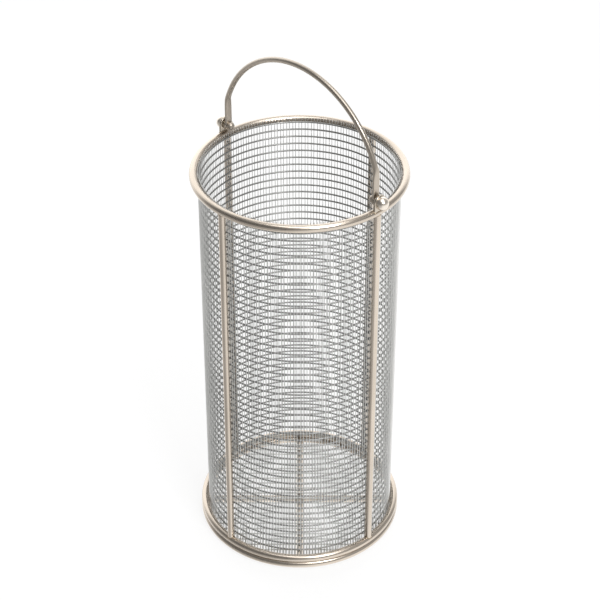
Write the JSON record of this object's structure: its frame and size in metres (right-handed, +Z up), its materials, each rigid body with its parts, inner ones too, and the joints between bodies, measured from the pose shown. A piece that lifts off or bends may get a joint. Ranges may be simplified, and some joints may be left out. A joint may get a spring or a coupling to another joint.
{
  "type": "basket strainer",
  "caption": "Cylindrical wire-cloth strainer basket, open at the top, framed by round rod rings and side rods, with a swinging bail handle on dome-headed pins.",
  "frame": {"origin": "centre of the underside, on the surface the bottom ring stands on", "axes": "+Z up along the basket's axis, +X along the bail handle's pivot axis"},
  "size_m": [0.1822, 0.17, 0.4287],
  "materials": {
    "frame_rod": "drawn stainless rod, slightly warm, soft sheen",
    "wire_cloth": "woven stainless wire, dull grey",
    "handle_rod": "drawn stainless rod, legs pressed flat",
    "pivot_hardware": "bright turned stainless"
  },
  "bodies": {
    "basket": {"top_ring": "frame_rod", "bottom_ring_upper": "frame_rod", "bottom_ring_lower": "frame_rod", "side_rod_1": "frame_rod", "side_rod_2": "frame_rod", "side_rod_3": "frame_rod", "side_rod_4": "frame_rod", "cross_bar_through": "frame_rod", "cross_bar_half_left": "frame_rod", "cross_bar_half_right": "frame_rod", "cloth_uprights": "wire_cloth", "cloth_hoops": "wire_cloth", "bottom_cloth_heavy": "wire_cloth", "bottom_cloth_fine": "wire_cloth", "ear_right": "pivot_hardware", "ear_left": "pivot_hardware", "pivot_pin_right": "pivot_hardware", "pivot_pin_left": "pivot_hardware", "pin_cap_right": "pivot_hardware", "pin_cap_left": "pivot_hardware", "washer_right": "pivot_hardware", "washer_left": "pivot_hardware"},
    "bail": {"handle": "handle_rod"}
  },
  "joints": [
    {"name": "handle_swing", "type": "hinge", "parent": "basket", "child": "bail", "pos_m": [0, 0, 0.345], "axis": [1, 0, 0], "range_deg": [-92, 92]}
  ]
}
